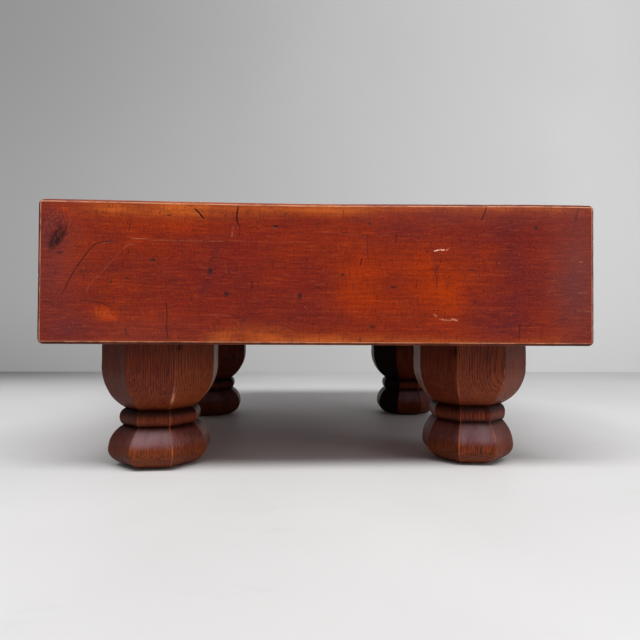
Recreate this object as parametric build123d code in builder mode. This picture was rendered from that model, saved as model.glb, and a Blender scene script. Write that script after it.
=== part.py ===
"""Footed floor game board: one thick slab of wood on four carved eight-sided feet.

The frame stands on the floor: +Z is up, X runs along the slab's long grain, -Y is the front,
and the origin is under the middle of the slab. Sizes are in millimetres.
"""
from build123d import *
import os
from math import cos, radians, sin

# Slab
BOARD_LENGTH = 455.0
BOARD_WIDTH = 424.0
BOARD_THICKNESS = 119.0
CORNER_ROUNDING = 4.5
ARRIS_ROUNDING = 3.0

# Square hollow in the middle of the underside, with a low pyramid left standing in it
NAVEL_SIDE = 120.0
NAVEL_DEPTH = 24.0
NAVEL_ROUNDING = 6.0
PYRAMID_SIDE = 96.0
PYRAMID_TIP_SIDE = 4.0
PYRAMID_HEIGHT = 17.0

# Legs: half widths across flats, and their heights above the floor
LEG_HEIGHT = 112.5
REST_HALF = 28.0
HEEL_HALF, HEEL_Z = 40.3, 7.6
BULB_HALF, BULB_Z = 44.0, 16.0
LOWER_NECK_HALF, LOWER_NECK_Z = 31.5, 37.0
RING_HALF, RING_Z = 35.0, 44.5
UPPER_NECK_HALF, UPPER_NECK_Z = 30.0, 52.0
CUP_HALF, CUP_Z = 51.0, 90.0
LEG_INSET = 80.5
LEG_BLANK = 130.0

# Round dry tenon on each leg, in a blind mortise
TENON_RADIUS = 18.0
TENON_LENGTH = 28.0
TENON_LEAD = 2.0
MORTISE_CLEARANCE = 0.08
MORTISE_DEPTH = 30.0

# The feet are carved and set by hand. Each has its name, its side along X and along Y, its turn in
# degrees, its shift in X and Y, how much higher its ring sits, and how much slimmer its bulb is.
LEGS = [
    ("leg_front_left", -1, -1, 3.0, -2.5, -1.0, 0.0, 0.0),
    ("leg_front_right", 1, -1, -5.0, 0.0, 2.0, 2.7, 3.3),
    ("leg_back_left", -1, 1, 2.5, 1.5, 0.0, 0.0, 0.0),
    ("leg_back_right", 1, 1, -4.0, 0.0, 0.0, 0.0, 1.7),
]


def leg_centre(side_x, side_y, shift_x, shift_y):
    """Where a leg's axis stands, in from the slab's two nearest sides."""
    x = side_x * (BOARD_LENGTH / 2 - LEG_INSET) + shift_x
    y = side_y * (BOARD_WIDTH / 2 - LEG_INSET) + shift_y
    return x, y


def upright_plane(centre, turn):
    """A vertical plane behind a leg's blank: local X is level, local Y is up."""
    across = (cos(radians(turn)), sin(radians(turn)), 0)
    normal = (sin(radians(turn)), -cos(radians(turn)), 0)
    through_axis = Plane(origin=(centre[0], centre[1], 0), x_dir=across, z_dir=normal)
    return through_axis.offset(-LEG_BLANK / 2)


def leg_profile(plane, ring_rise, bulb_trim):
    """The leg's outline across two opposite flats, as a closed face on the plane."""
    rest = (REST_HALF - bulb_trim, 0)
    heel = (HEEL_HALF - bulb_trim, HEEL_Z)
    bulb = (BULB_HALF - bulb_trim, BULB_Z)
    lower_neck = (LOWER_NECK_HALF, LOWER_NECK_Z + ring_rise)
    ring = (RING_HALF - bulb_trim / 3, RING_Z + ring_rise)
    upper_neck = (UPPER_NECK_HALF, UPPER_NECK_Z + ring_rise)
    cup = (CUP_HALF, CUP_Z)
    with BuildSketch(plane) as profile:
        with BuildLine():
            Line((0, 0), rest)
            ThreePointArc(rest, heel, bulb)
            TangentArc(bulb, lower_neck, tangent=(0, 1))
            ThreePointArc(lower_neck, ring, upper_neck)
            TangentArc(cup, upper_neck, tangent=(0, -1))
            Line(cup, (CUP_HALF, LEG_HEIGHT))
            Line((CUP_HALF, LEG_HEIGHT), (0, LEG_HEIGHT))
            mirror(about=Plane.YZ)
        make_face()
    return profile


os.makedirs("parts", exist_ok=True)

# The slab, with its blind mortises and the navel
leg_centres = [leg_centre(*leg[1:3], *leg[4:6]) for leg in LEGS]
with BuildPart() as board:
    with BuildSketch(Plane.XY.offset(LEG_HEIGHT)):
        RectangleRounded(BOARD_LENGTH, BOARD_WIDTH, CORNER_ROUNDING)
    extrude(amount=BOARD_THICKNESS)
    fillet(board.faces().filter_by(Axis.Z).edges(), ARRIS_ROUNDING)
    with BuildSketch(Plane.XY.offset(LEG_HEIGHT)):
        with Locations(*leg_centres):
            Circle(TENON_RADIUS + MORTISE_CLEARANCE)
    extrude(amount=MORTISE_DEPTH, mode=Mode.SUBTRACT)
    with BuildSketch(Plane.XY.offset(LEG_HEIGHT)):
        RectangleRounded(NAVEL_SIDE, NAVEL_SIDE, NAVEL_ROUNDING)
    extrude(amount=NAVEL_DEPTH, mode=Mode.SUBTRACT)
    with BuildSketch(Plane.XY.offset(LEG_HEIGHT + NAVEL_DEPTH)):
        Rectangle(PYRAMID_SIDE, PYRAMID_SIDE)
    with BuildSketch(Plane.XY.offset(LEG_HEIGHT + NAVEL_DEPTH - PYRAMID_HEIGHT)):
        Rectangle(PYRAMID_TIP_SIDE, PYRAMID_TIP_SIDE)
    loft()
board.part.label = "board"
export_step(board.part, "parts/board.step")

# The legs: each is what four crossing profiles have in common, so that its sections are octagons
for (name, _, _, turn, _, _, ring_rise, bulb_trim), centre in zip(LEGS, leg_centres):
    with BuildPart() as leg:
        for step in range(4):
            profile = leg_profile(upright_plane(centre, turn + 45 * step), ring_rise, bulb_trim)
            crossing = Mode.INTERSECT if step else Mode.ADD
            extrude(profile.sketch, amount=LEG_BLANK, mode=crossing)
        with BuildSketch(Plane.XY.offset(LEG_HEIGHT)):
            with Locations(centre):
                Circle(TENON_RADIUS)
        extrude(amount=TENON_LENGTH)
        chamfer(leg.faces().sort_by(Axis.Z)[-1].edges(), TENON_LEAD)
    leg.part.label = name
    export_step(leg.part, f"parts/{name}.step")
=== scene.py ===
"""Looks of the footed game board: a worn, stained slab on four carved keyaki-like feet.

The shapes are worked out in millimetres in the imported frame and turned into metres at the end.
"""
import math

import bmesh
import bpy
import numpy as np
from mathutils import Matrix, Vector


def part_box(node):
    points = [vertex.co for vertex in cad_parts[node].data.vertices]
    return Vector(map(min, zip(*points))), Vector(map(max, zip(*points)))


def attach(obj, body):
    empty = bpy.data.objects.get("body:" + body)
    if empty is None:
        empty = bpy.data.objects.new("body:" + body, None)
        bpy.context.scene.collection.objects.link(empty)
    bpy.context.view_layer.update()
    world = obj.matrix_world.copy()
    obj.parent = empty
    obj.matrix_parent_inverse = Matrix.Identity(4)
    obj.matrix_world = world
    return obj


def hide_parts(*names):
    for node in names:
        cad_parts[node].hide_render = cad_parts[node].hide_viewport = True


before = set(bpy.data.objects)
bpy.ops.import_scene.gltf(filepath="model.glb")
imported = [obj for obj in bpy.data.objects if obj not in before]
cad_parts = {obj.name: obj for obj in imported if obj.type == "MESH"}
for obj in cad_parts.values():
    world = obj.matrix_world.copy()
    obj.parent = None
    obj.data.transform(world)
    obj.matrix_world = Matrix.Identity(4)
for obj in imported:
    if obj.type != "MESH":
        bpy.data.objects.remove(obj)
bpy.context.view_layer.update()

MM = 0.001


def node_box(name):
    """A CAD node's lowest and highest corner, in millimetres."""
    low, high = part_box(name)
    return np.array(low) / MM, np.array(high) / MM


# ---------------------------------------------------------------------------------------------
# Numbers shared by the pieces, in millimetres

SLAB_LOW, SLAB_HIGH = node_box("board")
SLAB_SIZE = SLAB_HIGH - SLAB_LOW
SLAB_CENTRE = (SLAB_HIGH + SLAB_LOW) / 2
UNDERSIDE = SLAB_LOW[2]

ARRIS = 2.5
END_ARRIS = 4.6
TOP_DIP = 3.7

NAVEL_SIDE = 120.0
NAVEL_DEPTH = 24.0
PYRAMID_SIDE = 96.0
PYRAMID_TIP_SIDE = 4.0
PYRAMID_HEIGHT = 17.0

REST_HALF = 28.0
BULB_HALF, BULB_Z = 44.0, 16.0
LOWER_NECK_HALF, LOWER_NECK_Z = 31.5, 37.0
RING_HALF, RING_Z = 35.0, 44.5
UPPER_NECK_HALF, UPPER_NECK_Z = 30.0, 52.0
CUP_HALF, CUP_Z = 51.0, 90.0
TENON_RADIUS = 18.0
TENON_LENGTH = 28.0
TENON_LEAD = 2.0
MORTISE_RADIUS = 18.08
MORTISE_DEPTH = 30.0

# Each leg was carved and set by hand. turn: degrees about its own axis. ring_rise and bulb_trim: how
# much higher its ring and slimmer its bulb are. heart: where the heart of its tree lay from its axis.
# shade: how much painted shade is laid on it, for the back legs that stand in the shade under the slab.
# slimmer: sides where the cup is cut back, each a direction and a half width in degrees and an amount.
# Facet lighting: for a facet, numbered from the right one and counted towards the back, how much painted
# shade, painted light and painted grazing sheen is laid on it, deeper on the facets turned from the light,
# lighter on those turned to it. dirt and chips: dark and pale marks, each a direction, a height, a half
# width in degrees, a half height and an amount; the broad dark marks low on the front legs' bulbs dim
# the painted sheen there.
LEGS = {
    "leg_front_left": dict(
        turn=3.0, ring_rise=0.0, bulb_trim=0.0, heart=(-150.0, -25.0), shade=0.0,
        slimmer=[(200.0, 60.0, 0.028)],
        facet_lighting_painted={
            0: (0.0, 0.2, 0.60), 4: (0.35, 0.0, 0.0), 5: (0.42, 0.0, 0.0),
            6: (0.03, 0.0, 0.0), 7: (0.0, 0.46, 0.0),
        },
        dirt=[(298.6, 109.0, 2.2, 3.0, 0.85), (293.0, 110.0, 1.0, 2.5, 0.5), (318.0, 22.0, 24.0, 16.0, 0.24)],
        chips=[(295.5, 64.0, 1.3, 4.0, 0.9), (295.5, 74.0, 0.5, 4.0, 0.30), (295.5, 92.0, 0.45, 8.0, 0.08)],
    ),
    "leg_front_right": dict(
        turn=-5.0, ring_rise=2.7, bulb_trim=3.3, heart=(25.0, -95.0), shade=0.0,
        slimmer=[(190.0, 52.0, 0.036)],
        facet_lighting_painted={4: (0.0, 0.1, 0.46), 5: (0.34, 0.0, 0.0), 6: (0.0, 0.24, 0.0), 7: (0.04, 0.14, 0.0)},
        dirt=[(240.6, 106.0, 1.5, 5.0, 0.85), (243.6, 108.0, 0.8, 4.0, 0.4), (265.0, 24.0, 28.0, 16.0, 0.10)],
        chips=[(287.5, 78.0, 0.5, 8.0, 0.32), (287.5, 88.0, 0.4, 3.0, 0.3), (242.5, 70.0, 0.5, 9.0, 0.16)],
    ),
    "leg_back_left": dict(
        turn=2.5, ring_rise=0.0, bulb_trim=0.0, heart=(-120.0, 90.0), shade=0.5,
        slimmer=[], facet_lighting_painted={}, dirt=[], chips=[],
    ),
    "leg_back_right": dict(
        turn=-4.0, ring_rise=0.0, bulb_trim=1.7, heart=(140.0, 60.0), shade=0.5,
        slimmer=[], facet_lighting_painted={5: (0.5, 0.0, 0.0)}, dirt=[], chips=[],
    ),
}


# ---------------------------------------------------------------------------------------------
# Small tools for shapes

def smoothstep(low, high, value):
    """0 below low, 1 above high, and a smooth rise between. low may be the greater one."""
    t = np.clip((value - low) / (high - low), 0.0, 1.0)
    return t * t * (3.0 - 2.0 * t)


def lattice(cell, seed):
    """A fixed number between -1 and 1 for each whole-numbered cell."""
    h = np.sin(cell @ np.array([127.1, 311.7, 74.7]) + seed * 53.31) * 43758.5453
    return 2.0 * (h - np.floor(h)) - 1.0


def value_noise(points, size, seed):
    """Smooth noise between -1 and 1 whose bumps are about size across."""
    p = points / size
    cell = np.floor(p)
    f = p - cell
    f = f * f * (3.0 - 2.0 * f)
    total = np.zeros(len(points))
    for dx in (0, 1):
        for dy in (0, 1):
            for dz in (0, 1):
                weight = (
                    (f[:, 0] if dx else 1.0 - f[:, 0])
                    * (f[:, 1] if dy else 1.0 - f[:, 1])
                    * (f[:, 2] if dz else 1.0 - f[:, 2])
                )
                total += weight * lattice(cell + np.array([dx, dy, dz]), seed)
    return total


def line_distance(points, line):
    """Distance from each 2-D point to a polyline, and how far along it (0 to 1) the nearest place is."""
    line = np.array(line, float)
    lengths = np.linalg.norm(np.diff(line, axis=0), axis=1)
    reached = np.concatenate([[0.0], np.cumsum(lengths)])
    best = np.full(len(points), 1e9)
    along = np.zeros(len(points))
    for a, b, start, length in zip(line[:-1], line[1:], reached[:-1], lengths):
        t = np.clip(((points - a) @ (b - a)) / length**2, 0.0, 1.0)
        d = np.linalg.norm(points - a - t[:, None] * (b - a), axis=1)
        nearer = d < best
        best[nearer] = d[nearer]
        along[nearer] = (start + t[nearer] * length) / reached[-1]
    return best, along


def curve_through(points, steps=8):
    """A smooth line through given points (Catmull-Rom)."""
    p = np.array(points, float)
    p = np.vstack([2 * p[0] - p[1], p, 2 * p[-1] - p[-2]])
    out = []
    for i in range(1, len(p) - 2):
        for t in np.linspace(0.0, 1.0, steps, endpoint=False):
            out.append(
                0.5 * (2 * p[i] + (p[i + 1] - p[i - 1]) * t
                       + (2 * p[i - 1] - 5 * p[i] + 4 * p[i + 1] - p[i + 2]) * t**2
                       + (3 * p[i] - p[i - 1] - 3 * p[i + 1] + p[i + 2]) * t**3)
            )
    out.append(p[-2])
    return np.array(out)


def new_object(name, vertices, faces):
    """A mesh object from millimetre vertices, in metres."""
    mesh = bpy.data.meshes.new(name)
    mesh.from_pydata((np.asarray(vertices) * MM).tolist(), [], [list(map(int, f)) for f in faces])
    mesh.update()
    piece = bpy.data.objects.new(name, mesh)
    bpy.context.scene.collection.objects.link(piece)
    return piece


def read_vertices(mesh):
    co = np.empty(len(mesh.vertices) * 3)
    mesh.vertices.foreach_get("co", co)
    return co.reshape(-1, 3) / MM


def write_vertices(mesh, vertices):
    mesh.vertices.foreach_set("co", (vertices * MM).ravel())
    mesh.update()


def write_attribute(mesh, name, values):
    """One number for each vertex, for a material to read."""
    attribute = mesh.attributes.new(name, "FLOAT", "POINT")
    attribute.data.foreach_set("value", np.asarray(values, np.float32))


def smooth_by_angle(piece, degrees):
    piece.data.polygons.foreach_set("use_smooth", [True] * len(piece.data.polygons))
    piece.data.set_sharp_from_angle(angle=math.radians(degrees))


# ---------------------------------------------------------------------------------------------
# The slab

# Marks on the front face: x from its left side and z above its underside. Each crack has
# a width, a depth and a darkness; its ends taper.
CRACKS = [
    (0.50, 0.5, 0.62, [(18, 38), (21, 43), (25, 52), (31, 63), (36, 71), (44, 81), (53, 84), (62, 84)]),
    (0.50, 0.12, 0.75, [(33, 35), (42, 34), (49, 33), (54, 31), (59, 30)]),
    (0.40, 0.08, 0.40, [(4, 34), (10, 33), (14, 32)]),
    (0.50, 0.5, 0.62, [(100, 37), (101, 23), (101, 13), (102, 3)]),
    (0.80, 1.0, 1.00, [(122, 113), (126, 109), (130, 104)]),
    (0.60, 1.0, 0.92, [(157, 116), (156, 109), (156, 104), (158, 98)]),
    (0.45, 0.4, 0.45, [(158, 98), (158, 89)]),
    (0.52, 0.8, 0.88, [(362, 117), (360, 110), (357, 104)]),
    (0.60, 0.6, 0.75, [(258, 73), (257, 69), (256, 65)]),
    (0.40, 0.3, 0.50, [(262, 94), (262, 82), (263, 70)]),
    (0.50, 0.5, 0.70, [(169, 52), (168, 45)]),
    (0.45, 0.4, 0.55, [(391, 20), (390, 12), (390, 3)]),
    (0.45, 0.4, 0.55, [(319, 61), (320, 54), (320, 47)]),
    (0.40, 0.3, 0.45, [(324, 72), (322, 66), (319, 61)]),
    (0.45, 0.4, 0.55, [(441, 117), (440, 112), (438, 105)]),
    (0.35, 0.3, 0.45, [(427, 114), (429, 112), (430, 109)]),
    (0.40, 0.3, 0.50, [(68, 12), (70, 8), (74, 5)]),
    (0.35, 0.1, 0.45, [(179, 16), (193, 16), (204, 12)]),
    (0.40, 0.3, 0.50, [(155, 18), (157, 14), (160, 12), (164, 13)]),
    (0.35, 0.3, 0.45, [(172, 37), (177, 37)]),
    (0.35, 0.1, 0.45, [(236, 60), (240, 57), (244, 59)]),
    (0.35, 0.1, 0.70, [(318, 78), (321, 79), (326, 79)]),
    (0.40, 0.3, 0.50, [(34, 61), (33, 59), (35, 58), (38, 61), (37, 64)]),
    (0.40, 0.3, 0.50, [(17, 112), (19, 107), (20, 102), (22, 95), (21, 88)]),
]

# Small dents: x, z, half widths, depth
DENTS = [
    (187, 99, 1.9, 1.1, 1.0), (195, 109, 2.0, 0.6, 0.5), (148, 41, 1.6, 2.0, 0.6),
    (207, 40, 1.3, 2.6, 0.6), (90, 69, 1.8, 1.2, 0.5), (102, 107, 1.6, 0.9, 0.5),
    (57, 50, 0.9, 1.4, 0.5), (70, 53, 1.0, 1.0, 0.5), (34, 58, 0.8, 1.4, 0.4), (17, 74, 1.5, 1.0, 0.4),
    (135, 60, 1.3, 2.2, 0.4), (242, 58, 1.3, 1.1, 0.5), (284, 48, 2.4, 0.8, 0.4),
    (267, 15, 2.2, 1.5, 0.4), (349, 63, 2.5, 0.8, 0.4), (385, 25, 1.0, 0.7, 0.5),
    (404, 99, 1.6, 1.8, 0.4), (359, 100, 1.0, 0.8, 0.4), (264, 102, 1.2, 1.0, 0.4),
]

# Light scratches: half width, strength, line
SCRATCHES = [
    (0.25, 0.12, [(38, 42), (42, 50), (49, 57), (57, 67), (64, 76)]),
    (0.30, 0.22, [(66, 78), (71, 82), (76, 82)]),
    (0.30, 0.34, [(73, 87), (85, 87)]),
    (0.22, 0.17, [(88, 86), (112, 86), (146, 86)]),
    (0.38, 2.2, [(318, 79), (322, 80), (326, 80)]),
    (0.25, 0.90, [(328, 80), (330, 81)]),
    (0.50, 0.70, [(318, 26), (320, 24)]),
    (0.50, 0.55, [(323, 22), (328, 21), (333, 21)]),
    (0.60, 1.05, [(333, 22), (337, 21)]),
    (0.25, 0.12, [(420, 56), (417, 48), (414, 42)]),
    (0.35, 0.18, [(435, 73), (441, 73)]),
    (0.60, 0.40, [(442, 71), (444, 71)]),
    (0.25, 0.20, [(441, 45), (448, 45)]),
    (0.25, 0.20, [(440, 30), (453, 29)]),
    (0.35, 0.22, [(147, 61), (148, 59)]),
    (0.30, 0.18, [(152, 60), (153, 59)]),
    (0.50, 0.10, [(134, 24), (143, 24), (152, 23)]),
    (0.25, 0.20, [(155, 20), (158, 18)]),
    (0.20, 0.09, [(150, 87), (180, 86), (212, 86)]),
    (0.35, 0.18, [(211, 31), (213, 29)]),
    (0.40, 0.12, [(56, 24), (59, 21), (62, 19)]),
    (0.20, 0.10, [(222, 96), (262, 91)]),
    (0.30, 0.09, [(5, 96), (9, 104), (14, 109), (20, 112)]),
    (0.30, 0.08, [(4, 89), (8, 99), (13, 104), (19, 107)]),
    (0.30, 0.06, [(8, 93), (12, 99), (17, 102)]),
    (0.60, 0.26, [(152, 90), (153, 99)]),
]

# Warm, clear places in the stain: x, z, half widths, strength
GLOWS = [
    (257.0, 50.0, 19.0, 30.0, 0.80), (246.0, 44.0, 10.0, 10.0, 0.40), (322.0, 52.0, 26.0, 27.0, 0.85),
    (330.0, 30.0, 16.0, 12.0, 0.40), (356.0, 72.0, 16.0, 8.0, 0.35), (50.0, 26.5, 6.0, 3.2, 1.7),
    (55.0, 21.5, 6.5, 2.8, 1.7), (215.0, 80.0, 24.0, 12.0, 0.30), (120.0, 98.0, 40.0, 12.0, 0.45),
    (415.0, 12.0, 18.0, 10.0, 0.25), (66.0, 98.0, 26.0, 14.0, 0.25), (96.0, 24.0, 14.0, 8.0, 0.30),
    (284.0, 50.0, 26.0, 34.0, 0.25), (186.0, 66.0, 16.0, 24.0, 0.20), (20.0, 110.0, 6.0, 4.0, 0.60),
]

# Places where the stain is thin and the pale wood shows: x, z, half widths, strength
AMBERS = [
    (115.0, 114.0, 58.0, 8.0, 0.95), (60.0, 112.0, 22.0, 5.0, 0.40), (215.0, 115.0, 50.0, 5.0, 0.70),
    (252.0, 114.0, 20.0, 6.0, 0.45), (340.0, 116.0, 70.0, 4.0, 0.50), (420.0, 116.0, 40.0, 5.0, 0.50),
    (176.0, 10.0, 24.0, 7.0, 0.45), (230.0, 3.0, 75.0, 5.0, 0.75), (144.0, 6.0, 10.0, 5.0, 0.60),
    (350.0, 1.5, 100.0, 3.0, 0.38), (70.0, 1.5, 60.0, 2.0, 0.35), (414.0, 5.0, 22.0, 5.0, 0.20),
    (51.0, 24.5, 6.0, 3.0, 0.35),
]

# Dark, dull places in the stain: x, z, half widths, strength
SHADES = [
    (14.0, 86.0, 8.0, 8.0, 0.60), (9.0, 103.0, 10.0, 10.0, 0.55), (7.0, 84.0, 6.0, 16.0, 0.45),
    (26.0, 13.0, 28.0, 13.0, 0.75), (10.0, 56.0, 10.0, 30.0, 0.55), (115.0, 58.0, 40.0, 18.0, 0.20),
    (137.5, 72.0, 2.2, 7.0, 0.55), (134.5, 57.0, 2.6, 8.0, 0.60), (128.0, 45.0, 2.6, 5.0, 0.35),
    (150.0, 52.0, 22.0, 26.0, 0.18), (200.0, 56.0, 18.0, 16.0, 0.20), (283.0, 95.0, 26.0, 12.0, 0.60),
    (319.0, 68.0, 2.5, 16.0, 0.55), (351.0, 74.0, 2.0, 10.0, 0.35), (374.0, 22.0, 27.0, 20.0, 0.85),
    (356.0, 93.0, 44.0, 13.0, 0.55), (437.0, 48.0, 13.0, 26.0, 0.85), (440.0, 98.0, 18.0, 16.0, 0.40),
    (388.0, 64.0, 15.0, 30.0, 0.75), (212.0, 26.0, 40.0, 12.0, 0.25), (70.0, 60.0, 24.0, 18.0, 0.20),
    (17.0, 74.0, 3.0, 2.0, 0.50), (98.0, 27.0, 5.0, 4.0, 0.45), (112.0, 61.0, 4.0, 1.5, 0.40),
]

# Painted sheen: pale, milky places laid into the stain's colour where the finish reflects the bright room: x,
# z, half widths, strength
PAINTED_SHEENS = [
    (440.0, 62.0, 24.0, 60.0, 0.30), (12.0, 70.0, 24.0, 60.0, 0.18), (350.0, 112.0, 90.0, 10.0, 0.18),
    (70.0, 10.0, 60.0, 16.0, 0.12),
]

# Blue-black bruises, where something has pressed into the finish: x, z, half widths, strength
BRUISES = [
    (139, 75, 1.3, 5.5, 0.50), (135, 60, 1.9, 4.0, 0.75), (131, 48, 1.4, 5.0, 0.40),
    (90, 69, 2.0, 1.5, 0.62), (148, 41, 2.1, 2.1, 0.70), (207, 40, 1.5, 2.8, 0.72),
    (109, 53, 3.2, 1.0, 0.42), (177, 92, 2.0, 1.8, 0.30), (17, 74, 2.8, 1.8, 0.45),
    (69, 10, 1.8, 3.0, 0.48), (162, 20, 3.0, 1.8, 0.55), (98, 23, 2.6, 2.2, 0.40),
    (133, 5, 1.6, 2.6, 0.60), (142, 2, 2.4, 1.2, 0.70), (404, 99, 1.7, 2.6, 0.50),
    (284, 48, 3.0, 1.2, 0.50), (267, 15, 4.0, 1.6, 0.45), (242, 58, 2.4, 2.0, 0.40),
    (45, 110, 1.2, 2.2, 0.50), (428, 24, 3.0, 3.0, 0.35), (264, 102, 1.8, 1.5, 0.50),
    (438, 106, 2.0, 5.0, 0.35),
]

# The knot: x and z of its centre, half length along its slant and half width across it
KNOT_CENTRE = (15.5, 87.5)
KNOT_HALF = (11.0, 4.2)
KNOT_SLANT = 62.0


def knot_patch(front):
    """1 in the middle of the knot on the front face, falling to 0 at its rim."""
    slant = math.radians(KNOT_SLANT)
    away = front - KNOT_CENTRE
    along = (away[:, 0] * math.cos(slant) + away[:, 1] * math.sin(slant)) / KNOT_HALF[0]
    across = (away[:, 1] * math.cos(slant) - away[:, 0] * math.sin(slant)) / KNOT_HALF[1]
    return smoothstep(1.35, 0.65, np.hypot(along, across))


def spots(front, table):
    """Soft spots summed at each front-face point."""
    total = np.zeros(len(front))
    for x, z, half_x, half_z, strength in table:
        total += strength * np.exp(-((front[:, 0] - x) / half_x) ** 2 - ((front[:, 1] - z) / half_z) ** 2)
    return total


def grid_lines(length, step):
    """Coordinates across one side of the slab: close together in the arrises, even between them."""
    half = length / 2
    arris = [half - ARRIS * (1.0 - math.tan(math.radians(a))) for a in (0, 15, 30, 45)]
    near = [half - ARRIS - d for d in (2.0, 1.0)]
    inner = half - ARRIS - 2.0
    count = int(round(2 * inner / step))
    middle = np.linspace(-inner, inner, count + 1)[1:-1]
    right = np.array(near + arris)
    return np.concatenate([-right[::-1], middle, right])


def box_grid(xs, ys, zs):
    """Vertices and outward quads of a box's surface, gridded at the given coordinates."""
    nx, ny, nz = len(xs), len(ys), len(zs)
    index = -np.ones((nx, ny, nz), int)
    skin = np.zeros((nx, ny, nz), bool)
    skin[[0, -1], :, :] = True
    skin[:, [0, -1], :] = True
    skin[:, :, [0, -1]] = True
    index[skin] = np.arange(skin.sum())
    i, j, k = np.nonzero(skin)
    vertices = np.stack([xs[i], ys[j], zs[k]], axis=1)

    def quads(sheet, flip):
        a, b, c, d = sheet[:-1, :-1], sheet[1:, :-1], sheet[1:, 1:], sheet[:-1, 1:]
        ring = [a, b, c, d] if not flip else [d, c, b, a]
        return np.stack([r.ravel() for r in ring], axis=1)

    faces = [
        quads(index[0], True), quads(index[-1], False),
        quads(index[:, 0], False), quads(index[:, -1], True),
        quads(index[:, :, 0], True), quads(index[:, :, -1], False),
    ]
    return vertices, np.vstack(faces)


def round_arrises(vertices, half):
    """Pulls a box's grid onto the same box with rounded arrises."""
    inner = np.clip(vertices, -(half - ARRIS), half - ARRIS)
    out = vertices - inner
    rounded = inner + ARRIS * out / np.linalg.norm(out, axis=1)[:, None]

    # The four arrises that run along Y are rounder: a wider arc takes the place of the small one
    core = half[[0, 2]] - END_ARRIS
    flat = rounded[:, [0, 2]]
    off = np.maximum(np.abs(flat) - core, 0.0)
    length = np.maximum(np.linalg.norm(off, axis=1), 1e-9)
    aim = off / length[:, None]
    small_core = END_ARRIS - ARRIS
    ahead = aim.sum(1) * small_core
    on_arc = ahead + np.sqrt(np.maximum(ahead**2 - 2 * small_core**2 + ARRIS**2, 0.0))
    is_arc = np.all(aim * on_arc[:, None] > small_core, axis=1)
    outline = np.where(is_arc, on_arc, END_ARRIS / np.maximum(aim.max(1), 1e-9))
    corner = np.all(off > 0.0, axis=1)
    scale = np.where(corner, END_ARRIS / outline, 1.0)
    moved = np.sign(flat) * (core + off * scale[:, None])
    rounded[:, [0, 2]] = np.where(corner[:, None], moved, flat)
    return rounded


def prism(sections):
    """A closed solid through square or round sections, each (points, z)."""
    count = len(sections[0][0])
    vertices = [(x, y, z) for points, z in sections for x, y in points]
    faces = [list(range(count))[::-1]]
    for s in range(len(sections) - 1):
        for i in range(count):
            j = (i + 1) % count
            faces.append([s * count + i, s * count + j, (s + 1) * count + j, (s + 1) * count + i])
    faces.append([(len(sections) - 1) * count + i for i in range(count)])
    return vertices, faces


def square(side, x=0.0, y=0.0):
    h = side / 2
    return [(x - h, y - h), (x + h, y - h), (x + h, y + h), (x - h, y + h)]


def circle(radius, centre, count=64):
    turns = [2 * math.pi * i / count for i in range(count)]
    return [(centre[0] + radius * math.cos(t), centre[1] + radius * math.sin(t)) for t in turns]


def leg_axis(name):
    """Where a leg's axis stands: the middle of its tenon's and cup's common box."""
    low, high = node_box(name)
    return (low[:2] + high[:2]) / 2


def cut(piece, tool):
    """Takes the tool's space out of the piece, for good."""
    modifier = piece.modifiers.new("cut", "BOOLEAN")
    modifier.operation = "DIFFERENCE"
    modifier.solver = "EXACT"
    modifier.object = tool
    depsgraph = bpy.context.evaluated_depsgraph_get()
    made = bpy.data.meshes.new_from_object(piece.evaluated_get(depsgraph))
    piece.modifiers.clear()
    uncut, tool_mesh = piece.data, tool.data
    piece.data = made
    bpy.data.objects.remove(tool)
    bpy.data.meshes.remove(uncut)
    bpy.data.meshes.remove(tool_mesh)


def refine(mesh, lines, reach):
    """Splits the front faces that lie within reach of any of the lines."""
    bm = bmesh.new()
    bm.from_mesh(mesh)
    bm.faces.ensure_lookup_table()
    centres = np.array([f.calc_center_median() for f in bm.faces]) / MM
    front = centres[:, 1] < SLAB_LOW[1] + ARRIS * 0.3
    places = np.nonzero(front)[0]
    flat = front_places(centres[places])
    near = np.zeros(len(places), bool)
    for line in lines:
        low, high = line.min(0) - reach, line.max(0) + reach
        inside = np.all((flat > low) & (flat < high), axis=1)
        if inside.any():
            distance, _ = line_distance(flat[inside], line)
            near[np.nonzero(inside)[0][distance < reach]] = True
    edges = {e for i in places[near] for e in bm.faces[i].edges}
    bmesh.ops.subdivide_edges(bm, edges=list(edges), cuts=1, use_grid_fill=True)
    bm.to_mesh(mesh)
    bm.free()


def front_places(vertices):
    """x from the slab's left side and z above its underside."""
    return np.stack([vertices[:, 0] - SLAB_LOW[0], vertices[:, 2] - UNDERSIDE], axis=1)


def arris_distance(vertices):
    """How far a surface point is from the nearest arris."""
    gaps = np.sort(SLAB_SIZE / 2 - np.abs(vertices - SLAB_CENTRE), axis=1)
    return gaps[:, 1]


def worn_side(vertices):
    """1 on the one side of each arris that is rubbed pale: the front or back, else the left or right."""
    order = np.argsort(SLAB_SIZE / 2 - np.abs(vertices - SLAB_CENTRE), axis=1)
    nearest, second = order[:, 0], order[:, 1]
    rubbed = (nearest == 1) | ((nearest == 0) & (second == 2))
    at_top = vertices[:, 2] > SLAB_CENTRE[2] + SLAB_SIZE[2] * 0.45
    return rubbed * np.where(at_top, 1.0, 0.72)


def painted_rim_shade(vertices):
    """Painted shade on each arris's rounding: most below and at the ends, least along the top's left half."""
    at_top = smoothstep(SLAB_HIGH[2] - 6.0, SLAB_HIGH[2] - 5.0, vertices[:, 2])
    to_right = smoothstep(-60.0, 60.0, vertices[:, 0])
    return 1.0 - at_top * (0.85 - 0.5 * to_right)


# The slab's grid steps along X, Y and Z, and how near a mark the front is split once and again
GRID_STEPS = (2.7, 4.2, 2.4)
SPLIT_REACH, SECOND_REACH, CRACK_REACH = 3.0, 1.9, 1.1


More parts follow.
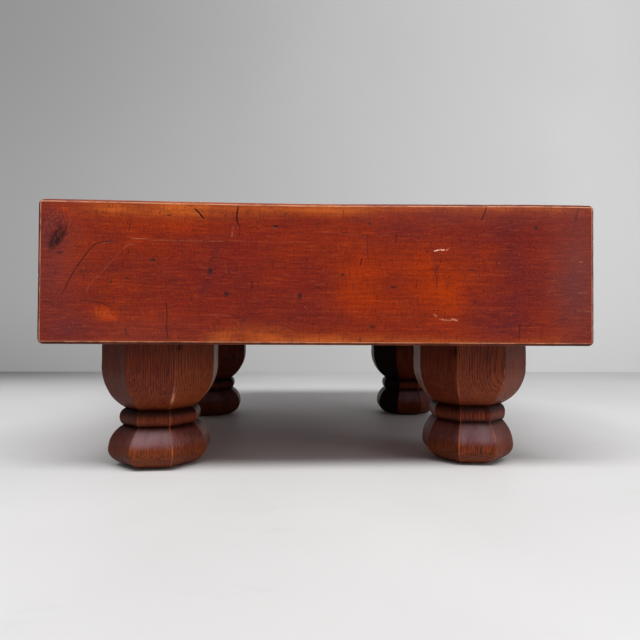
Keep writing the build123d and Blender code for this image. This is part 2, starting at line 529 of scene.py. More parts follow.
def make_slab():
    half = SLAB_SIZE / 2
    vertices, faces = box_grid(*(grid_lines(size, step) for size, step in zip(SLAB_SIZE, GRID_STEPS)))
    slab = new_object("game_board", round_arrises(vertices, half) + SLAB_CENTRE, faces)
    below = UNDERSIDE - 5.0
    for name in LEGS:
        rim = circle(MORTISE_RADIUS, leg_axis(name))
        cut(slab, new_object("mortise", *prism([(rim, below), (rim, UNDERSIDE + MORTISE_DEPTH)])))
    floor = UNDERSIDE + NAVEL_DEPTH
    hollow = new_object("hollow", *prism([(square(NAVEL_SIDE), below), (square(NAVEL_SIDE), floor)]))
    pyramid = new_object("pyramid", *prism([
        (square(PYRAMID_TIP_SIDE), floor - PYRAMID_HEIGHT),
        (square(PYRAMID_SIDE), floor + 0.01), (square(PYRAMID_SIDE), floor + 5.0),
    ]))
    cut(hollow, pyramid)
    cut(slab, hollow)

    mesh = slab.data
    cracks = [curve_through(line) for _, _, _, line in CRACKS]
    scratches = [curve_through(line) for _, _, line in SCRATCHES]
    dents = [np.array([(x - a, z), (x + a, z)]) for x, z, a, _, _ in DENTS]
    refine(mesh, cracks + scratches + dents, SPLIT_REACH)
    refine(mesh, cracks + scratches + dents, SECOND_REACH)
    refine(mesh, cracks + dents, CRACK_REACH)

    vertices = read_vertices(mesh)
    flat = front_places(vertices)
    is_front = vertices[:, 1] < SLAB_LOW[1] + 2.0 * ARRIS
    crack = np.zeros(len(vertices))
    scratch = np.zeros(len(vertices))
    carve = np.zeros(len(vertices))
    rough_edge = value_noise(vertices, 1.6, 3)
    for (width, depth, darkness, _), line in zip(CRACKS, cracks):
        distance, along = line_distance(flat, line)
        taper = np.clip(np.minimum(along, 1.0 - along) * 5.0 + 0.25, 0.0, 1.0)
        reach = width * taper * (1.0 + 0.35 * rough_edge) + 0.15
        groove = smoothstep(1.0, 0.15, distance / reach) * is_front
        crack = np.maximum(crack, groove * darkness)
        carve = np.maximum(carve, depth * taper * groove)
    for x, z, half_x, half_z, depth in DENTS:
        spread = np.hypot((flat[:, 0] - x) / half_x, (flat[:, 1] - z) / half_z) * (1.0 + 0.25 * rough_edge)
        pit = smoothstep(1.6, 0.2, spread) * is_front
        crack = np.maximum(crack, pit * min(0.95, 0.35 + depth * 0.6))
        carve = np.maximum(carve, 0.5 * depth * pit)
    gaps = 0.5 * value_noise(vertices, 2.5, 7) + 0.45 * value_noise(vertices, 1.1, 8)
    broken = np.clip(0.75 + gaps, 0, 1)
    for (width, strength, _), line in zip(SCRATCHES, scratches):
        distance, _ = line_distance(flat, line)
        mark = smoothstep(width + 0.35, 0.1, distance) * is_front
        scratch = np.maximum(scratch, mark * strength * broken)
        carve = np.maximum(carve, 0.08 * mark)
    glow = spots(flat, GLOWS) * is_front
    shade = spots(flat, SHADES) * is_front
    amber = spots(flat, AMBERS) * is_front
    # painted sheen: milky reflection spots laid on the front
    painted_sheen = spots(flat, PAINTED_SHEENS) * is_front
    bruise = spots(flat, BRUISES) * is_front
    knot = knot_patch(flat) * is_front

    to_arris = arris_distance(vertices)
    rubbed = worn_side(vertices)
    away = np.where(is_front, 0.0, 1.0)
    glow += away * np.clip(0.9 * value_noise(vertices * [0.6, 1, 1], 70.0, 11) - 0.05, 0, 1)
    shade += away * np.clip(0.9 * value_noise(vertices * [0.6, 1, 1], 60.0, 12) - 0.1, 0, 1)
    thin = smoothstep(14.0, 2.0, to_arris) * (0.5 + 0.5 * value_noise(vertices, 45.0, 13))
    amber += away * np.clip(thin, 0, 1)
    carve += np.clip(value_noise(vertices, 9.0, 21), 0, 1) * 0.35 * smoothstep(4.0, 1.0, to_arris)
    carve += np.clip(value_noise(vertices, 3.5, 22) - 0.55, 0, 1) * 1.3 * smoothstep(3.0, 1.2, to_arris)

    inward = SLAB_CENTRE - vertices
    inward[np.abs(inward) < SLAB_SIZE / 2 - 2.0 * ARRIS] = 0.0
    length = np.linalg.norm(inward, axis=1)
    inward = inward / np.maximum(length, 1e-6)[:, None]
    vertices += inward * carve[:, None]

    # The top is worn: it lies lower over the left and the middle than at the right end
    drop = TOP_DIP * smoothstep(SLAB_SIZE[0], 165.0, flat[:, 0]) + 0.12 * value_noise(vertices, 60.0, 31)
    vertices[:, 2] -= np.maximum(drop, 0.0) * smoothstep(30.0, SLAB_SIZE[2], flat[:, 1])
    write_vertices(mesh, vertices)

    to_end = SLAB_SIZE[0] / 2 - np.abs(vertices[:, 0] - SLAB_CENTRE[0])
    attributes = {
        "crack": crack, "scratch": scratch, "glow": glow, "shade": shade, "amber": amber, "painted_sheen": painted_sheen,
        "bruise": bruise, "knot": knot, "to_arris": to_arris, "rim": painted_rim_shade(vertices),
        "rubbed": rubbed, "end": smoothstep(2.0, 0.5, to_end),
    }
    for name, values in attributes.items():
        write_attribute(mesh, name, values)
    smooth_by_angle(slab, 40)
    return slab


# ---------------------------------------------------------------------------------------------
# The legs

def flare(z, wide, wide_z, narrow, narrow_z):
    """Half width on an arc that is upright at its wide end and passes through its narrow end."""
    across, up = wide - narrow, wide_z - narrow_z
    radius = (across**2 + up**2) / (2 * across)
    return wide - radius + np.sqrt(radius**2 - (z - wide_z) ** 2)


def leg_outline(ring_rise, bulb_trim, top):
    """Heights of a leg's sections, closer together where the outline turns fast, and half widths there."""
    bulb = BULB_HALF - bulb_trim
    rest = REST_HALF - bulb_trim
    ring = RING_HALF - bulb_trim / 3
    low_z, ring_z, high_z = (z + ring_rise for z in (LOWER_NECK_Z, RING_Z, UPPER_NECK_Z))

    def heel(z):
        return rest + (bulb - rest) * (1 - (1 - z / BULB_Z) ** 2.2) ** 0.8

    def ring_side(z, neck, neck_z):
        away = (z - ring_z) / (neck_z - ring_z)
        return neck + (ring - neck) * (1 - away**2) ** 0.6

    spans = [
        (0.0, BULB_Z, 14, heel),
        (BULB_Z, low_z, 18, lambda z: flare(z, bulb, BULB_Z, LOWER_NECK_HALF, low_z)),
        (low_z, ring_z, 10, lambda z: ring_side(z, LOWER_NECK_HALF, low_z)),
        (ring_z, high_z, 10, lambda z: ring_side(z, UPPER_NECK_HALF, high_z)),
        (high_z, CUP_Z, 30, lambda z: flare(z, CUP_HALF, CUP_Z, UPPER_NECK_HALF, high_z)),
        (CUP_Z, top, 10, lambda z: np.full(len(z), CUP_HALF)),
    ]
    levels, halves = [np.zeros(1)], [np.full(1, rest)]
    for low, high, count, width in spans:
        t = 0.5 - 0.5 * np.cos(np.pi * np.arange(1, count + 1) / count)
        z = low + (high - low) * t
        levels.append(z)
        halves.append(width(np.clip(z, low, high)))
    return np.concatenate(levels), np.concatenate(halves)


def sides(angles, table):
    """How much of each (direction, half width, amount) in degrees reaches each angle."""
    total = np.zeros(len(angles))
    for facing, width, amount in table:
        near = smoothstep(math.cos(math.radians(width)), math.cos(math.radians(width * 0.6)),
                          np.cos(angles - math.radians(facing)))
        total += amount * near
    return total


def marks(angles, z, table):
    """How much of each (direction, height, half width in degrees, half height, amount) is at each place."""
    total = np.zeros(len(angles))
    for facing, level, width, tall, amount in table:
        off = (angles - math.radians(facing) + math.pi) % (2 * math.pi) - math.pi
        total += amount * np.exp(-((off / math.radians(width)) ** 2) - ((z - level) / tall) ** 2)
    return total


# A leg's facets: the places round each arris, in degrees from it, the steps across a facet between
# them, how sharp the arrises are, how far wear spreads from them, and how much the facets' sizes vary
FACETS = 8
ARRIS_STEPS = np.radians([-3.0, -1.4, -0.6, 0.0, 0.6, 1.4, 3.0])
FACET_STEPS = 6
SHARPNESS = 230.0
WEAR_SPREAD = 0.0085
FACET_VARIATION = 0.010


def band(low, high, count):
    """Quads between two rings of count vertices, given each ring's first vertex."""
    row = np.arange(count)
    following = (row + 1) % count
    return np.stack([low + row, low + following, high + following, high + row], axis=1)


def facet_angles(flats, sizes):
    """The directions of a leg's upright lines of vertices, all the way round."""
    eighth = 2 * math.pi / FACETS

    def lean(k):
        """How far past facet k's middle the corner to the next facet lies."""
        wide = sizes[(k + 1) % FACETS] / sizes[k % FACETS]
        return math.atan((wide - math.cos(eighth)) / math.sin(eighth))

    angles = []
    for k in range(FACETS):
        corner = flats[k] + lean(k)
        next_corner = flats[k] + eighth + lean(k + 1)
        inside = np.linspace(corner + ARRIS_STEPS[-1], next_corner + ARRIS_STEPS[0], FACET_STEPS + 1)
        angles += list(corner + ARRIS_STEPS) + list(inside[1:-1])
    return np.array(angles)


def make_leg(name, number):
    centre = leg_axis(name)
    leg_own = LEGS[name]
    turn = math.radians(leg_own["turn"])
    flats = turn + np.arange(FACETS) * math.pi / 4
    cells = np.stack([np.arange(FACETS), np.full(FACETS, number), np.zeros(FACETS)], axis=1)
    sizes = np.minimum(1.0, 1.0 + FACET_VARIATION * lattice(cells, 5))
    angles = facet_angles(flats, sizes)
    around = np.cos(angles[:, None] - flats[None, :]) / sizes[None, :]
    reach = (np.clip(around, 0, None) ** SHARPNESS).sum(1) ** (-1.0 / SHARPNESS)
    nearest = np.sort(around, axis=1)
    arris = np.exp(-((nearest[:, -1] - nearest[:, -2]) / WEAR_SPREAD) ** 2)
    facet = np.argmax(around, axis=1)

    top = UNDERSIDE
    levels, half = leg_outline(leg_own["ring_rise"], leg_own["bulb_trim"], top)
    radius = half[:, None] * reach[None, :]
    in_cup = smoothstep(54.0, 74.0, levels)
    radius *= 1.0 - sides(angles, leg_own["slimmer"])[None, :] * in_cup[:, None]
    x = centre[0] + radius * np.cos(angles)
    y = centre[1] + radius * np.sin(angles)
    z = np.repeat(levels[:, None], len(angles), axis=1)
    rings = np.stack([x, y, z], axis=2).reshape(-1, 3)
    count = len(angles)
    bands = [band(s * count, (s + 1) * count, count) for s in range(len(levels) - 1)]
    faces = [list(f) for f in np.vstack(bands)]
    faces.append(list(range(count))[::-1])

    # The shoulder, and the round tenon that stands on it
    shoulder = (len(levels) - 1) * count
    steps = [(TENON_RADIUS, top), (TENON_RADIUS, top + TENON_LENGTH - TENON_LEAD),
             (TENON_RADIUS - TENON_LEAD, top + TENON_LENGTH)]
    tenon = []
    for r, level in steps:
        tenon += [(centre[0] + r * math.cos(a), centre[1] + r * math.sin(a), level) for a in angles]
    vertices = np.vstack([rings, tenon])
    for s in range(len(steps)):
        low = shoulder + s * count
        faces += [list(f) for f in band(low, low + count, count)]
    last = shoulder + len(steps) * count
    faces.append([last + i for i in range(count)])

    # Carved by hand: shallow waves in the facets, and worn spots along the arrises
    outward = vertices - np.array([centre[0], centre[1], 0.0])
    outward[:, 2] = 0.0
    outward /= np.linalg.norm(outward, axis=1)[:, None]
    on_arris = np.concatenate([np.tile(arris, len(levels)), np.zeros(len(tenon))])
    carved = np.concatenate([np.ones(len(rings)), np.zeros(len(tenon))])
    carved *= smoothstep(0.0, 3.0, vertices[:, 2]) * smoothstep(top, top - 3.0, vertices[:, 2])
    wave = 0.5 + 0.5 * value_noise(vertices, 14.0, 40 + number)
    wear = np.clip(value_noise(vertices, 5.0, 50 + number), 0, 1)
    vertices -= outward * (carved * (0.35 * wave + 0.55 * wear * on_arris))[:, None]

    leg = new_object("carved_" + name, vertices, faces)
    pith = np.array(leg_own["heart"]) + centre
    lean = value_noise(vertices, 90.0, 60 + number) * 7.0 + value_noise(vertices, 30.0, 70 + number) * 1.3
    ring = np.hypot(vertices[:, 0] - pith[0], vertices[:, 1] - pith[1]) + lean
    z = vertices[:, 2]
    low_z, high_z = LOWER_NECK_Z + leg_own["ring_rise"], UPPER_NECK_Z + leg_own["ring_rise"]
    # painted shade laid in the two neck grooves
    painted_neck_shade = np.exp(-((z - high_z + 1.8) / 4.2) ** 2) + np.exp(-((z - low_z) / 2.6) ** 2)
    around_all = np.arctan2(vertices[:, 1] - centre[1], vertices[:, 0] - centre[0])
    # painted light and shade by facet: deeper where turned from the light, lighter where turned to it, and a
    # painted grazing sheen on the facets seen edge-on
    facet_lighting_painted = np.array([leg_own["facet_lighting_painted"].get(k, (0.0, 0.0, 0.0)) for k in range(FACETS)])
    facet_all = np.tile(facet, len(levels) + len(steps))
    # painted shade for the back legs and the facets turned from the light, with dark dirt marks
    painted_shade_and_dirt = leg_own["shade"] + facet_lighting_painted[facet_all, 0] + marks(around_all, z, leg_own["dirt"])
    chips = marks(around_all, z, leg_own["chips"])
    # painted sheen on the bulb's upper slope, strongest on the front facet
    painted_bulb_sheen = smoothstep(18.0, 26.0, z) * smoothstep(low_z + 1.0, low_z - 4.0, z)
    painted_bulb_sheen *= 0.35 + 0.65 * smoothstep(0.88, 0.94, np.cos(around_all - turn + math.pi / 2))
    # painted grazing sheen: a grey reflection on the facets seen edge-on
    painted_grazing_sheen = facet_lighting_painted[facet_all, 2] * smoothstep(UNDERSIDE, UNDERSIDE - 3.0, z)
    painted_grazing_sheen *= 0.2 + 0.8 * smoothstep(32.0, 50.0, z)
    attributes = {
        "ring": ring, "worn": on_arris, "neck": painted_neck_shade, "height": z, "shade": painted_shade_and_dirt,
        "painted_facet_light": facet_lighting_painted[facet_all, 1] * smoothstep(50.0, 60.0, z), "chip": chips, "painted_bulb_sheen": painted_bulb_sheen, "painted_grazing_sheen": painted_grazing_sheen,
    }
    for attribute, values in attributes.items():
        write_attribute(leg.data, attribute, values)
    smooth_by_angle(leg, 28)
    return leg


# ---------------------------------------------------------------------------------------------
# Materials

class Shader:
    """A material's nodes, with one short call for each kind."""

    def __init__(self, name):
        self.material = bpy.data.materials.new(name)
        self.material.use_nodes = True
        self.tree = self.material.node_tree
        self.tree.nodes.clear()
        out = self.tree.nodes.new("ShaderNodeOutputMaterial")
        self.surface = self.tree.nodes.new("ShaderNodeBsdfPrincipled")
        self.tree.links.new(self.surface.outputs[0], out.inputs[0])
        self.place = self.tree.nodes.new("ShaderNodeTexCoord").outputs["Object"]

    def feed(self, socket, value):
        if isinstance(value, bpy.types.NodeSocket):
            self.tree.links.new(value, socket)
        else:
            socket.default_value = value

    def axis(self, vector, letter):
        node = self.tree.nodes.new("ShaderNodeSeparateXYZ")
        self.feed(node.inputs[0], vector)
        return node.outputs[letter]

    def attribute(self, name):
        node = self.tree.nodes.new("ShaderNodeAttribute")
        node.attribute_name = name
        return node.outputs["Fac"]

    def stretch(self, vector, scale, location=(0, 0, 0)):
        node = self.tree.nodes.new("ShaderNodeMapping")
        self.feed(node.inputs["Vector"], vector)
        node.inputs["Scale"].default_value = scale
        node.inputs["Location"].default_value = location
        return node.outputs[0]

    def noise(self, vector, scale=1.0, detail=3.0, roughness=0.5):
        node = self.tree.nodes.new("ShaderNodeTexNoise")
        self.feed(node.inputs["Vector"], vector)
        node.inputs["Scale"].default_value = scale
        node.inputs["Detail"].default_value = detail
        node.inputs["Roughness"].default_value = roughness
        return node.outputs["Fac"]

    def grain(self, scale, location=(0, 0, 0), detail=3.0, roughness=0.5):
        """Noise over the object, with its own scale along each axis."""
        stretched = self.stretch(self.place, scale, location)
        return self.noise(stretched, detail=detail, roughness=roughness)

    def math(self, operation, a, b=0.0, c=0.0, clamp=False):
        node = self.tree.nodes.new("ShaderNodeMath")
        node.operation = operation
        node.use_clamp = clamp
        for socket, value in zip(node.inputs, (a, b, c)):
            self.feed(socket, value)
        return node.outputs[0]

    def distance(self, a, b=(0, 0, 0)):
        node = self.tree.nodes.new("ShaderNodeVectorMath")
        node.operation = "DISTANCE"
        self.feed(node.inputs[0], a)
        self.feed(node.inputs[1], b)
        return node.outputs["Value"]

    def range(self, value, low, high, to_low=0.0, to_high=1.0):
        node = self.tree.nodes.new("ShaderNodeMapRange")
        node.interpolation_type = "SMOOTHSTEP"
        self.feed(node.inputs["Value"], value)
        for name, number in (("From Min", low), ("From Max", high), ("To Min", to_low), ("To Max", to_high)):
            node.inputs[name].default_value = number
        return node.outputs[0]

    def mix(self, factor, a, b):
        node = self.tree.nodes.new("ShaderNodeMix")
        node.data_type = "RGBA"
        node.clamp_factor = True
        self.feed(node.inputs[0], factor)
        self.feed(node.inputs[6], a)
        self.feed(node.inputs[7], b)
        return node.outputs[2]

    def product(self, first, *others):
        """The factors multiplied together."""
        for other in others:
            first = self.math("MULTIPLY", first, other)
        return first

    def tint(self, base, factor, *rgb):
        """The base with a screen colour laid over it."""
        return self.mix(factor, base, colour(*rgb))

    def layers(self, base, rows):
        """The base with a tint for each row: none where the source is at low, and amount at high."""
        for source, low, high, amount, rgb in rows:
            base = self.tint(base, self.range(source, low, high, 0.0, amount), *rgb)
        return base

    def bump(self, height, distance, strength):
        node = self.tree.nodes.new("ShaderNodeBump")
        node.inputs["Strength"].default_value = strength
        node.inputs["Distance"].default_value = distance
        self.feed(node.inputs["Height"], height)
        return node.outputs[0]


def colour(red, green, blue):
    """A colour given as it looks on a screen, from 0 to 255, as the linear one that a shader needs."""
    def linear(c):
        c = c / 255.0
        return c / 12.92 if c <= 0.04045 else ((c + 0.055) / 1.055) ** 2.4
    return (linear(red), linear(green), linear(blue), 1.0)


def slab_wood():
    s = Shader("stained_slab")
    place = s.place
    crack, scratch, to_arris = s.attribute("crack"), s.attribute("scratch"), s.attribute("to_arris")
    glow, shade, amber = s.attribute("glow"), s.attribute("shade"), s.attribute("amber")
    knot, rim, painted_sheen = s.attribute("knot"), s.attribute("rim"), s.attribute("painted_sheen")

    # Grain runs along X. Its rings lie round a heart far below and behind the slab, and bend
    # round a knot at the front's upper left corner.
    knot_scale = (1.0, 0.5, 0.7)
    knot_place = (SLAB_LOW[0] + KNOT_CENTRE[0], SLAB_LOW[1], UNDERSIDE + KNOT_CENTRE[1])
    knot_centre = tuple(k * f * MM for k, f in zip(knot_place, knot_scale))
    wobble = s.product(s.noise(place, 160.0, detail=3.0), 0.008)
    near_knot = s.math("ADD", s.distance(s.stretch(place, knot_scale), knot_centre), wobble)
    swell = s.product(s.range(near_knot, 0.002, 0.026, 1.0, 0.0), 0.020)
    drift = s.grain((2.2, 9.0, 9.0), detail=2.0)
    across = s.distance(s.stretch(place, (0.0, 1.0, 1.0), (0.0, -0.07, 0.27)))
    rings = s.math("ADD", s.math("ADD", across, swell), s.product(drift, 0.022))
    ring = s.math("PINGPONG", rings, 0.0019)
    late = s.range(ring, 0.0008, 0.0018)

    blotch = s.grain((7.0, 13.0, 13.0), detail=3.0, roughness=0.55)
    cloud = s.grain((28.0, 55.0, 55.0), detail=5.0, roughness=0.65)
    streak = s.grain((10.0, 260.0, 260.0), detail=4.0, roughness=0.6)
    thread = s.grain((85.0, 950.0, 950.0), detail=2.0, roughness=0.6)
    hatch = s.grain((800.0, 90.0, 90.0), detail=2.0)
    fleck = s.grain((230.0, 640.0, 640.0), detail=2.0)
    grit = s.grain((700.0, 1100.0, 1100.0), detail=2.0, roughness=0.7)

    base = s.mix(s.range(blotch, 0.34, 0.66), colour(117, 29, 17), colour(133, 38, 11))
    base = s.layers(base, [(cloud, 0.38, 0.70, 0.6, (98, 24, 17))])
    base = s.tint(base, s.product(glow, s.range(cloud, 0.3, 0.62, 1.1, 0.65)), 167, 52, 2)
    base = s.tint(base, s.product(amber, s.range(cloud, 0.35, 0.65, 1.1, 0.5)), 192, 94, 34)
    base = s.tint(base, s.product(shade, s.range(cloud, 0.3, 0.6, 0.6, 1.0)), 90, 25, 30)
    base = s.layers(base, [
        (streak, 0.44, 0.70, 0.22, (84, 18, 12)),
        (streak, 0.44, 0.28, 0.15, (172, 66, 16)),
    ])

    # The ends show the ends of the fibres, and their rings more strongly
    end = s.attribute("end")
    base = s.tint(base, s.product(late, s.math("MULTIPLY_ADD", end, 0.14, 0.12)), 70, 18, 12)
    speck = s.grain((500.0, 700.0, 700.0), detail=3.0, roughness=0.7)
    base = s.tint(base, s.product(end, s.range(speck, 0.52, 0.64, 0.0, 0.6)), 48, 14, 10)
    base = s.tint(base, s.product(end, s.range(speck, 0.46, 0.34, 0.0, 0.35)), 168, 70, 30)

    nick = s.grain((620.0, 400.0, 110.0), (0.7, 0.2, 0.4), detail=2.0)
    base = s.layers(base, [
        (thread, 0.52, 0.75, 0.26, (178, 74, 24)),
        (thread, 0.46, 0.28, 0.38, (66, 15, 11)),
        (hatch, 0.50, 0.72, 0.40, (84, 24, 22)),
        (grit, 0.52, 0.66, 0.34, (66, 18, 13)),
        (grit, 0.46, 0.34, 0.20, (170, 72, 30)),
        (fleck, 0.70, 0.75, 0.70, (44, 12, 10)),
        (nick, 0.69, 0.74, 0.55, (46, 16, 14)),
    ])
    # painted sheen: a pale, milky reflection laid into the front's colour
    base = s.tint(base, painted_sheen, 112, 70, 66)
    base = s.tint(base, s.product(s.attribute("bruise"), s.range(grit, 0.35, 0.62, 0.65, 1.0)), 52, 30, 34)
    strokes = s.grain((520.0, 300.0, 170.0), detail=3.0)
    stroke = s.range(strokes, 0.40, 0.56)
    swirl = s.product(s.range(near_knot, 0.008, 0.024, 0.50, 0.0), s.range(ring, 0.0009, 0.0017))
    base = s.tint(base, swirl, 64, 28, 38)
    base = s.tint(base, s.product(knot, s.range(stroke, 0.0, 1.0, 0.50, 0.95)), 34, 17, 15)

    # A pale line where each arris is rubbed, and painted shade on the rounding outside it, where the arris
    # turns from the light
    broken = s.grain((110.0, 110.0, 110.0), detail=4.0)
    uneven = s.math("ADD", to_arris, s.product(s.math("SUBTRACT", broken, 0.5), 1.3))
    line = s.product(
        s.range(uneven, 2.95, 2.35), s.range(to_arris, 1.65, 2.05),
        s.range(broken, 0.36, 0.58, 0.28, 0.95), s.attribute("rubbed"),
    )
    base = s.tint(base, line, 200, 142, 108)
    # painted shade: a dark band on each arris's rounding, darkest below and at the ends
    painted_rim_shadow = s.product(s.range(to_arris, 2.05, 1.65), s.range(broken, 0.3, 0.6, 1.0, 0.75), rim, 0.8)
    base = s.tint(base, painted_rim_shadow, 40, 20, 14)
    speckle = s.range(s.noise(place, 1300.0, detail=2.0), 0.40, 0.56, 0.35, 1.0)
    scratch = s.product(scratch, speckle)
    base = s.tint(base, s.math("MINIMUM", scratch, 1.0), 222, 150, 118)
    base = s.tint(base, s.math("SUBTRACT", scratch, 1.0, clamp=True), 245, 232, 228)
    base = s.tint(base, crack, 28, 12, 10)

    s.feed(s.surface.inputs["Base Color"], base)
    rough = s.math("ADD", s.range(cloud, 0.2, 0.8, 0.28, 0.44), s.product(scratch, 0.25))
    rough = s.math("ADD", rough, s.product(crack, 0.3), clamp=True)
    s.feed(s.surface.inputs["Roughness"], rough)
    s.feed(s.surface.inputs["Specular IOR Level"], s.range(glow, 0.0, 0.8, 0.12, 0.06))
    height = s.math("ADD", s.product(thread, 0.5), s.product(streak, 0.6))
    height = s.math("ADD", height, s.product(s.grain((200.0, 200.0, 200.0)), 0.7))
    s.feed(s.surface.inputs["Normal"], s.bump(height, 0.00015, 0.6))
    return s.material


# One year's growth in the legs' wood, in millimetres
YEAR_WIDTH = 1.8


def leg_wood():
    s = Shader("carved_leg")
    ring_mm, worn, neck = s.attribute("ring"), s.attribute("worn"), s.attribute("neck")
    height_mm, shade = s.attribute("height"), s.attribute("shade")

    # Rings of open pores, closer or wider from year to year, and fibres that run up the leg
    waver = s.grain((45.0, 45.0, 5.0), detail=3.0)
    years = s.math("ADD", s.product(ring_mm, 1.0 / YEAR_WIDTH), s.product(waver, 2.2))
    phase = s.math("FRACT", years)
    early = s.product(s.range(phase, 0.0, 0.15), s.range(phase, 0.2, 0.7, 1.0, 0.0))
    pores = s.grain((1150.0, 1150.0, 95.0), detail=3.0, roughness=0.65)
    pore = s.product(s.range(pores, 0.50, 0.60), s.range(early, 0.1, 0.6, 0.45, 1.0))
    fibre = s.grain((520.0, 520.0, 26.0), detail=4.0, roughness=0.6)
    stripe = s.grain((110.0, 110.0, 9.0), detail=3.0)
    blotch = s.grain((26.0, 26.0, 16.0), detail=3.0)

    base = s.mix(s.range(blotch, 0.35, 0.65), colour(98, 28, 12), colour(112, 38, 14))
    # painted light: the facets turned to the light laid paler
    streaked = s.range(stripe, 0.3, 0.6, 0.7, 1.0)
    base = s.tint(base, s.product(s.attribute("painted_facet_light"), streaked), 158, 78, 34)
    base = s.layers(base, [
        (stripe, 0.45, 0.70, 0.50, (134, 60, 22)),
        (fibre, 0.42, 0.7, 0.5, (140, 62, 26)),
        (fibre, 0.48, 0.28, 0.45, (56, 15, 8)),
    ])
    base = s.tint(base, s.product(early, 0.44), 46, 13, 8)
    base = s.tint(base, s.product(pore, 0.62), 24, 7, 4)
    gold = s.grain((1250.0, 1250.0, 75.0), (0.3, 0.1, 0.2), detail=2.0)
    base = s.layers(base, [(gold, 0.54, 0.66, 0.24, (168, 84, 40))])
    low = s.range(height_mm, 26.0, 12.0, 0.0, 0.7)
    base = s.tint(base, s.product(low, s.range(blotch, 0.3, 0.6, 0.4, 1.0)), 128, 62, 24)
    base = s.tint(base, s.product(s.range(pores, 0.50, 0.58), low), 26, 9, 5)
    # painted sheen: a greyish reflection on the bulb's upper slope
    painted_bulb_sheen = s.product(s.attribute("painted_bulb_sheen"), s.range(stripe, 0.3, 0.6, 0.42, 0.80))
    base = s.tint(base, painted_bulb_sheen, 126, 98, 102)
    # painted grazing sheen: a grey reflection laid on the facets seen edge-on
    painted_grazing_sheen = s.product(s.attribute("painted_grazing_sheen"), s.range(stripe, 0.3, 0.6, 0.6, 1.0))
    base = s.tint(base, painted_grazing_sheen, 150, 122, 104)
    # painted shade: the neck grooves darkened
    base = s.tint(base, s.product(neck, 0.9), 14, 5, 4)
    # painted shade: the cup darker towards its top, under the slab
    base = s.layers(base, [(height_mm, 86.0, 112.0, 0.4, (52, 14, 6))])
    # painted shade: back legs and facets turned from the light laid deeper, with the dirt marks
    base = s.tint(base, shade, 22, 4, 2)

    # Arrises rubbed pale, less so high on the cup and where painted shade is laid on, and small chips
    rub = s.grain((150.0, 150.0, 70.0), detail=3.0)
    on_bulb = s.range(height_mm, 50.0, 34.0, 0.0, 0.68)
    on_cup = s.range(height_mm, 100.0, 66.0, 0.06, 0.32)
    line = s.product(
        worn, s.math("ADD", on_bulb, on_cup), s.range(rub, 0.38, 0.60, 0.15, 1.0),
        s.range(shade, 0.1, 0.6, 0.70, 0.22),
    )
    base = s.tint(base, line, 196, 94, 46)
    chip = s.product(s.attribute("chip"), s.range(rub, 0.34, 0.52, 0.3, 1.0))
    base = s.tint(base, chip, 226, 150, 122)

    s.feed(s.surface.inputs["Base Color"], base)
    s.feed(s.surface.inputs["Roughness"], s.range(fibre, 0.2, 0.8, 0.34, 0.52))
    s.feed(s.surface.inputs["Specular IOR Level"], s.range(shade, 0.1, 0.6, 0.14, 0.05))
    relief = s.math("SUBTRACT", s.product(fibre, 0.5), s.product(pore, 0.8))
    relief = s.math("SUBTRACT", relief, s.product(early, 0.3))
    s.feed(s.surface.inputs["Normal"], s.bump(relief, 0.00022, 0.7))
    return s.material


# The room, in metres: how far back the wall stands and how high it is, and how far the floor reaches
WALL_Y = 0.80
WALL_HEIGHT = 3.0
FLOOR_REACH = 5.0


def plain_floor():
    s = Shader("painted_floor")
    place = s.place
    cloud = s.noise(place, 3.0, detail=5.0)
    scuff = s.grain((9.0, 22.0, 9.0), detail=6.0, roughness=0.7)
    base = s.mix(s.range(cloud, 0.3, 0.7), colour(198, 198, 198), colour(206, 206, 206))
    # scuffs, and painted shade: the floor darker towards the wall
    base = s.layers(base, [
        (scuff, 0.58, 0.75, 0.3, (180, 180, 180)),
        (s.axis(place, "Y"), 0.15, WALL_Y, 0.45, (160, 160, 160)),
    ])
    # painted shade where the floor meets the wall on the left
    to_wall = s.range(s.axis(place, "Y"), 0.35, WALL_Y)
    to_left = s.range(s.axis(place, "X"), 0.2, -0.9)
    base = s.tint(base, s.product(to_wall, to_left, 0.95), 104, 104, 104)
    s.feed(s.surface.inputs["Base Color"], base)
    s.surface.inputs["Roughness"].default_value = 0.55
    s.surface.inputs["Specular IOR Level"].default_value = 0.25
    return s.material


def plain_wall():
    s = Shader("painted_wall")
    place = s.place
    cloud = s.noise(place, 1.6, detail=3.0)
    # painted light and shade: the wall darker to the left and brighter to the right
    base = s.mix(s.range(s.axis(place, "X"), -1.1, 1.1), colour(160, 160, 160), colour(206, 206, 206))
    # painted shade: the wall darker higher up, most on the left
    to_top = s.range(s.axis(place, "Z"), 0.1, 1.1)
    to_left = s.range(s.axis(place, "X"), 0.9, -0.9, 0.2, 0.62)
    base = s.tint(base, s.product(to_top, to_left), 104, 104, 104)
    base = s.layers(base, [(cloud, 0.35, 0.65, 0.08, (120, 120, 120))])
    s.feed(s.surface.inputs["Base Color"], base)
    s.surface.inputs["Roughness"].default_value = 0.9
    return s.material


# ---------------------------------------------------------------------------------------------
# Stage, light and camera, in metres

def stage_sheet(name, corners, material):
    mesh = bpy.data.meshes.new(name)
    mesh.from_pydata(corners, [], [list(range(len(corners)))])
    sheet = bpy.data.objects.new(name, mesh)
    bpy.context.scene.collection.objects.link(sheet)
    mesh.materials.append(material)


def area_light(name, place, target, size, power):
    """A soft lamp at a place, facing a target."""
    data = bpy.data.lights.new(name, "AREA")
    data.shape = "RECTANGLE"
    data.size, data.size_y = size
    data.energy = power
    light = bpy.data.objects.new(name, data)
    bpy.context.scene.collection.objects.link(light)
    away = np.array(place) - np.array(target)
    z = away / np.linalg.norm(away)
    x = np.cross([0, 0, 1], z)
    x /= np.linalg.norm(x)
    y = np.cross(z, x)
    light.matrix_world = Matrix.Translation(place) @ Matrix((x, y, z)).transposed().to_4x4()


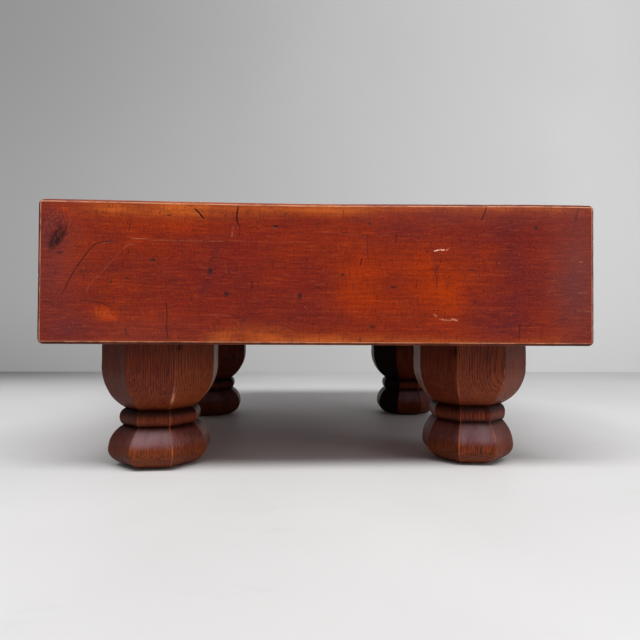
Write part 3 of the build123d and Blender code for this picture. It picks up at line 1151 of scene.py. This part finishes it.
# The camera: its place, its turn, raise and roll in degrees, and its lens and sensor in millimetres
CAMERA_PLACE = (-0.0279, -0.6180, 0.1274)
CAMERA_TURN, CAMERA_RAISE, CAMERA_ROLL = -3.39, 0.79, 0.36
CAMERA_LENS = 28.14
CAMERA_SENSOR = 36.0

left, right = -FLOOR_REACH, FLOOR_REACH
stage_sheet(
    "floor",
    [(left, -FLOOR_REACH, 0), (right, -FLOOR_REACH, 0), (right, WALL_Y, 0), (left, WALL_Y, 0)],
    plain_floor(),
)
stage_sheet(
    "wall",
    [(left, WALL_Y, 0), (right, WALL_Y, 0), (right, WALL_Y, WALL_HEIGHT), (left, WALL_Y, WALL_HEIGHT)],
    plain_wall(),
)

world = bpy.data.worlds.new("soft_room")
bpy.context.scene.world = world
world.use_nodes = True
world.node_tree.nodes["Background"].inputs["Color"].default_value = (1.0, 1.0, 1.0, 1.0)
world.node_tree.nodes["Background"].inputs["Strength"].default_value = 0.28
area_light("strip", (-0.15, -1.15, 2.0), (0, 0, 0.1), (2.8, 0.55), 70.0)
area_light("side", (1.7, -1.1, 0.7), (0.1, 0, 0.08), (1.0, 1.0), 7.0)

camera_data = bpy.data.cameras.new("camera")
camera_data.lens = CAMERA_LENS
camera_data.sensor_width = CAMERA_SENSOR
camera = bpy.data.objects.new("camera", camera_data)
bpy.context.scene.collection.objects.link(camera)
camera.matrix_world = (
    Matrix.Translation(CAMERA_PLACE)
    @ Matrix.Rotation(math.radians(CAMERA_TURN), 4, "Z")
    @ Matrix.Rotation(math.radians(90.0 + CAMERA_RAISE), 4, "X")
    @ Matrix.Rotation(math.radians(CAMERA_ROLL), 4, "Z")
)
bpy.context.scene.camera = camera
bpy.context.scene.view_settings.view_transform = "Standard"

# ---------------------------------------------------------------------------------------------
# The pieces

slab = make_slab()
slab.data.materials.clear()
slab.data.materials.append(slab_wood())
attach(slab, "board")
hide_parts("board")

carved = leg_wood()
for number, name in enumerate(LEGS):
    leg = make_leg(name, number)
    leg.data.materials.append(carved)
    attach(leg, "legs")
    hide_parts(name)
